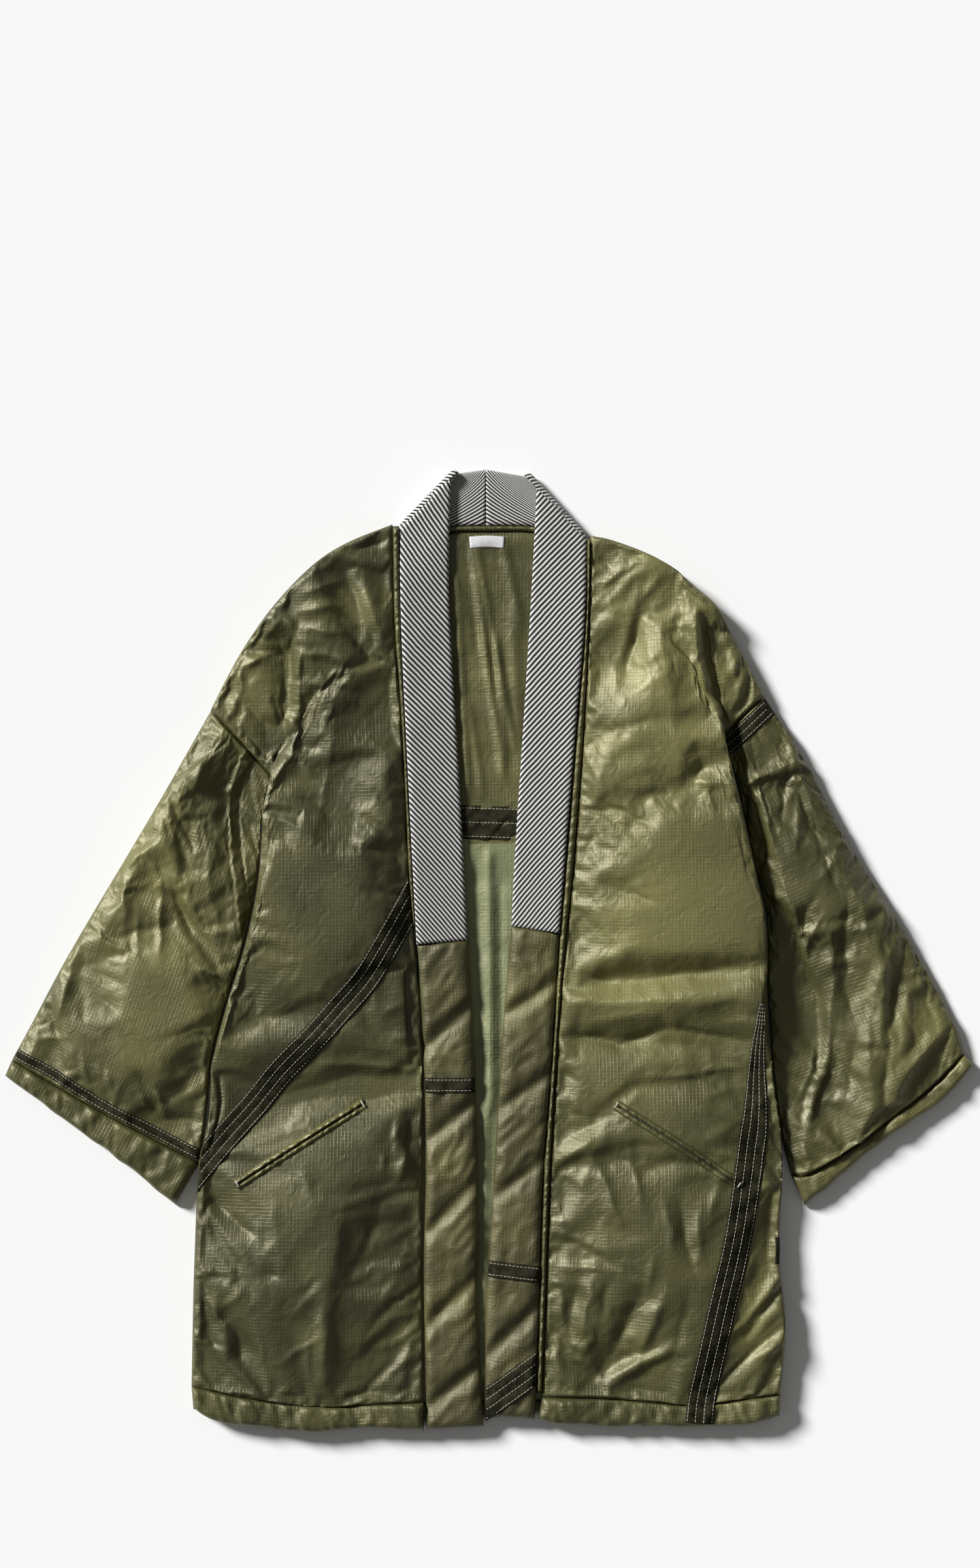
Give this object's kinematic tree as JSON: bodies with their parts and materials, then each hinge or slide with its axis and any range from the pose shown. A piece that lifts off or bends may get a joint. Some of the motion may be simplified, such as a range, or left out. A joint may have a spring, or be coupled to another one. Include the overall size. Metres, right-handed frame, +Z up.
{
  "type": "hanten",
  "caption": "Padded hanten with wide sleeves, a striped turned collar, quilted lower collar bands, slanting pockets and stitched tapes, laid flat on its back.",
  "frame": {"origin": "centre of the garment's length and width, at the surface it lies on", "axes": "+X to the right as seen from above, +Y from the hem to the collar, +Z up from the surface"},
  "size_m": [0.954, 0.9466, 0.0294],
  "materials": {
    "shell": "olive ripstop nylon, a soft sheen",
    "collar": "black and white twill stripes, matt",
    "tape": "dark woven tape with pale stitches, matt",
    "label": "blank white woven label"
  },
  "bodies": {
    "root": {"back": "shell", "front_left": "shell", "front_right": "shell", "hem_back": "shell", "hem_left": "shell", "hem_right": "shell", "sleeve_left": "shell", "sleeve_right": "shell", "cuff_left": "shell", "cuff_right": "shell", "band_left": "shell", "band_right": "shell", "piping_left": "shell", "piping_right": "shell", "piping_neck": "shell", "pocket_left": "shell", "pocket_right": "shell", "collar_left": "collar", "collar_right": "collar", "tape_front_left": "tape", "tape_front_right": "tape", "tape_sleeve_right": "tape", "tape_cuff_left": "tape", "tape_band_left": "tape", "tape_band_right": "tape", "tape_band_right_low": "tape", "tape_back": "tape", "label": "label"}
  },
  "joints": []
}
